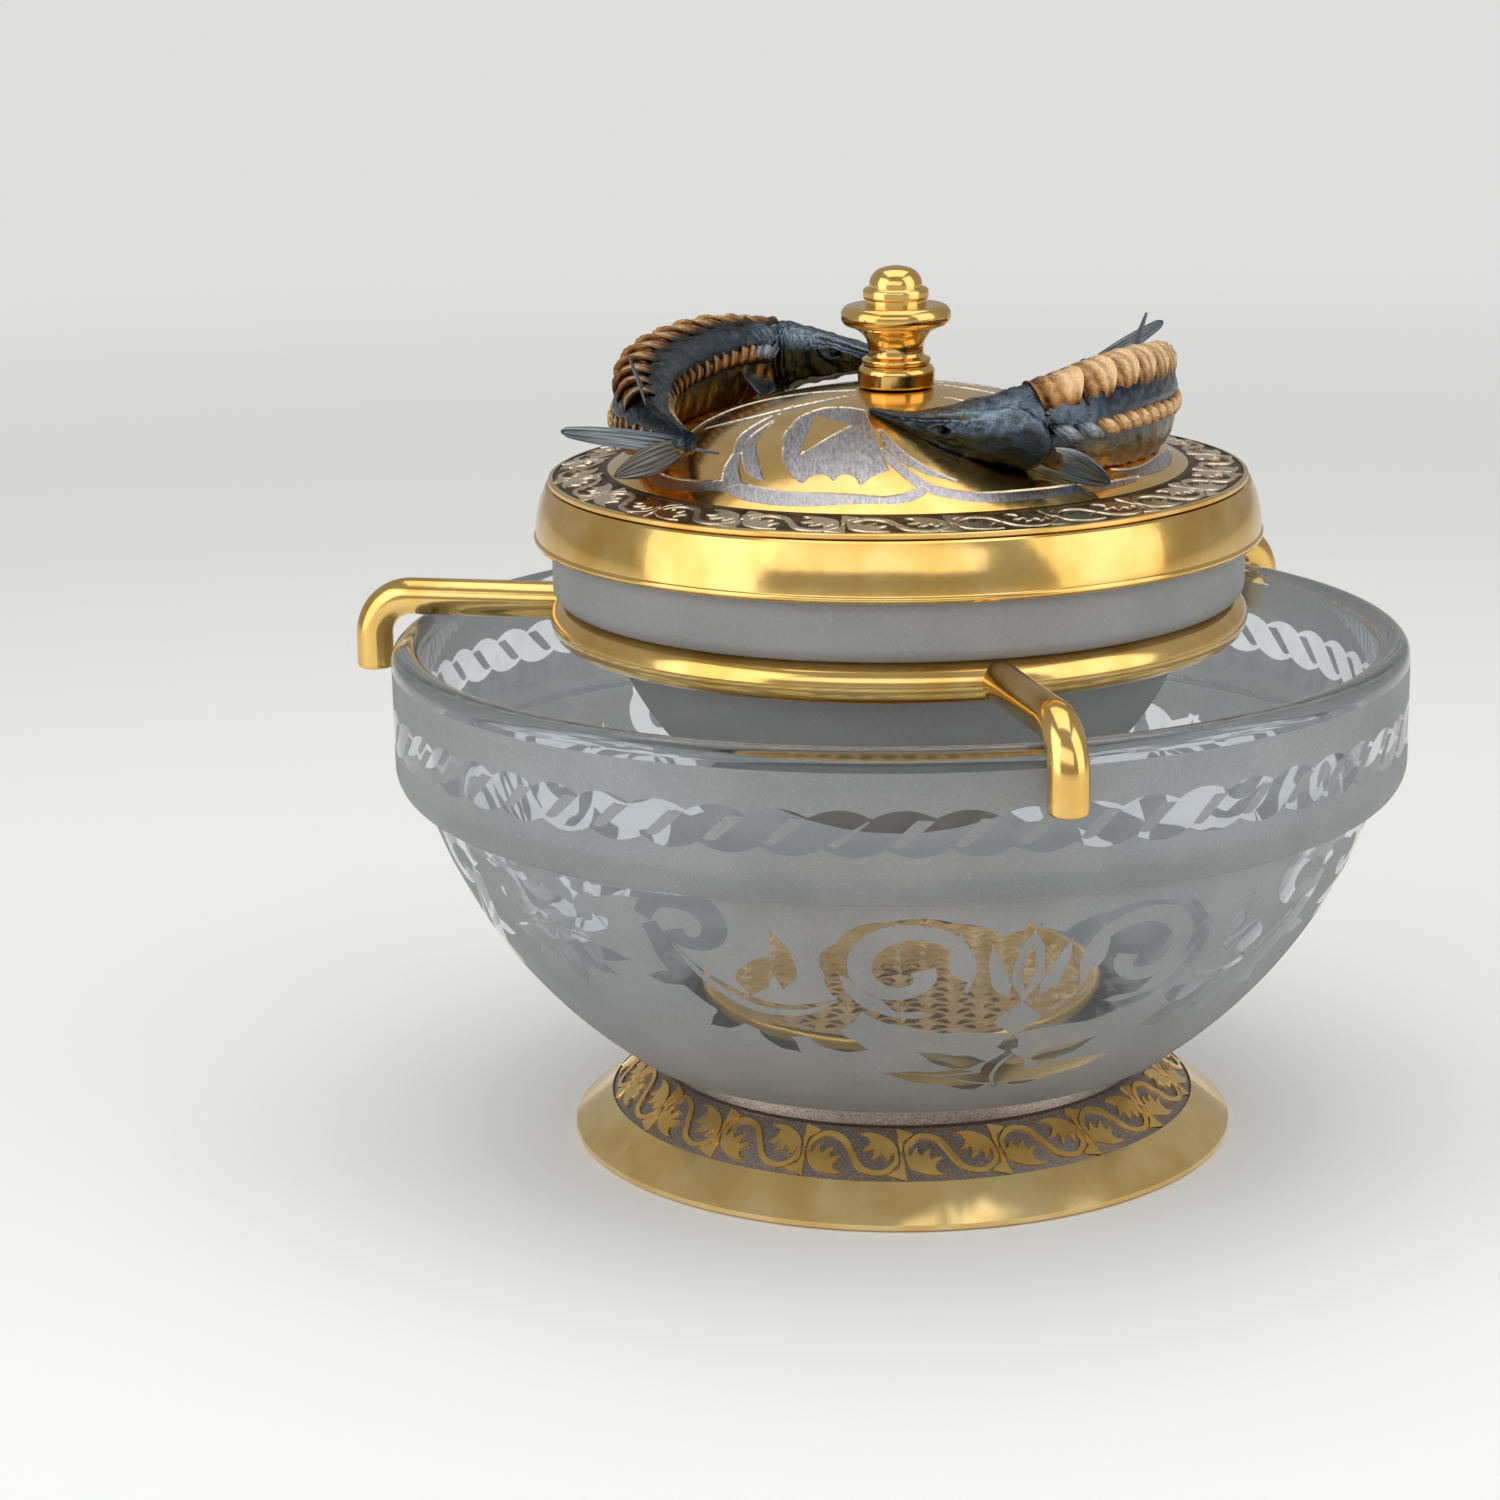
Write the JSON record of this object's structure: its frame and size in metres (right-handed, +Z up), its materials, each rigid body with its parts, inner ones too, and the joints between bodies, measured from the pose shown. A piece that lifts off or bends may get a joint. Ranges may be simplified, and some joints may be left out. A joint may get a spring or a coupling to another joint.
{
  "type": "caviar server",
  "caption": "Footed glass ice bowl with a hooked ring that hangs a small glass dish, and a domed lid with a turned knob and cast sturgeons.",
  "frame": {"origin": "centre of the foot's ring, on the table", "axes": "+Z up along the turning axis of foot, bowl, dish and lid; -Y is the front shown in the picture"},
  "size_m": [0.1683, 0.1642, 0.1384],
  "materials": {
    "frosted_glass": "sandblasted, with clear polished ornament",
    "gilt": "polished gilding",
    "etched_gilt": "etched ornament, part gilded and part silver-grey",
    "blackened_silver": "cast, silvered and blackened, with gilded bony plates",
    "steel": "plain",
    "gasket": "clear silicone"
  },
  "bodies": {
    "root": {"outer_bowl": "frosted_glass", "foot": "gilt", "clamp_plate": "gilt", "clamp_stud": "steel", "upper_gasket": "gasket", "lower_gasket": "gasket", "foot_washer": "steel", "foot_nut": "steel", "support_ring": "gilt", "hook_arm_front": "gilt", "hook_arm_right": "gilt", "hook_arm_left": "gilt", "inner_dish": "frosted_glass", "lid_rim": "gilt", "lid_plate": "etched_gilt", "knob": "gilt", "knob_screw": "steel", "knob_washer": "steel", "sturgeon_right": "blackened_silver", "sturgeon_left": "blackened_silver", "sturgeon_screws": "steel"}
  },
  "joints": []
}
